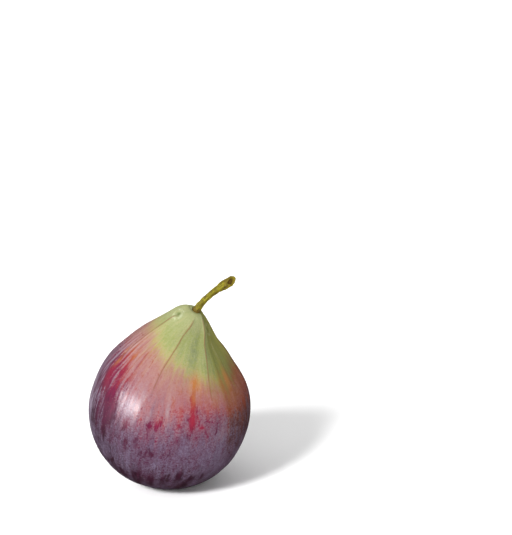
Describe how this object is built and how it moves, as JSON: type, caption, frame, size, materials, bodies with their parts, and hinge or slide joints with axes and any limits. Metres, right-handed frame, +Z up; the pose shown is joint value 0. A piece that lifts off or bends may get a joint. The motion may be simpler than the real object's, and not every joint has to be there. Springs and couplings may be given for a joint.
{
  "type": "fresh fig",
  "caption": "Ripe teardrop fig with a round belly, a ribbed conical neck and a short leaning stalk, resting on a small flat spot.",
  "frame": {"origin": "centre of the small flat spot under the belly that the fruit rests on", "axes": "+Z up from the surface it rests on, -Y towards the viewer of the fig's best side, +X the way the neck and the stalk lean"},
  "size_m": [0.0539, 0.0525, 0.0746],
  "materials": {
    "fig_skin": "thin waxy fig skin, green at the neck and wine purple on the belly, with a pale bloom",
    "stalk_bark": "rough olive yellow bark with darker edges, pale at the cut",
    "eye_scale": "dry red brown scales with paler edges"
  },
  "bodies": {
    "root": {"fruit": "fig_skin", "stalk": "stalk_bark", "eye_scales": "eye_scale"}
  },
  "joints": []
}
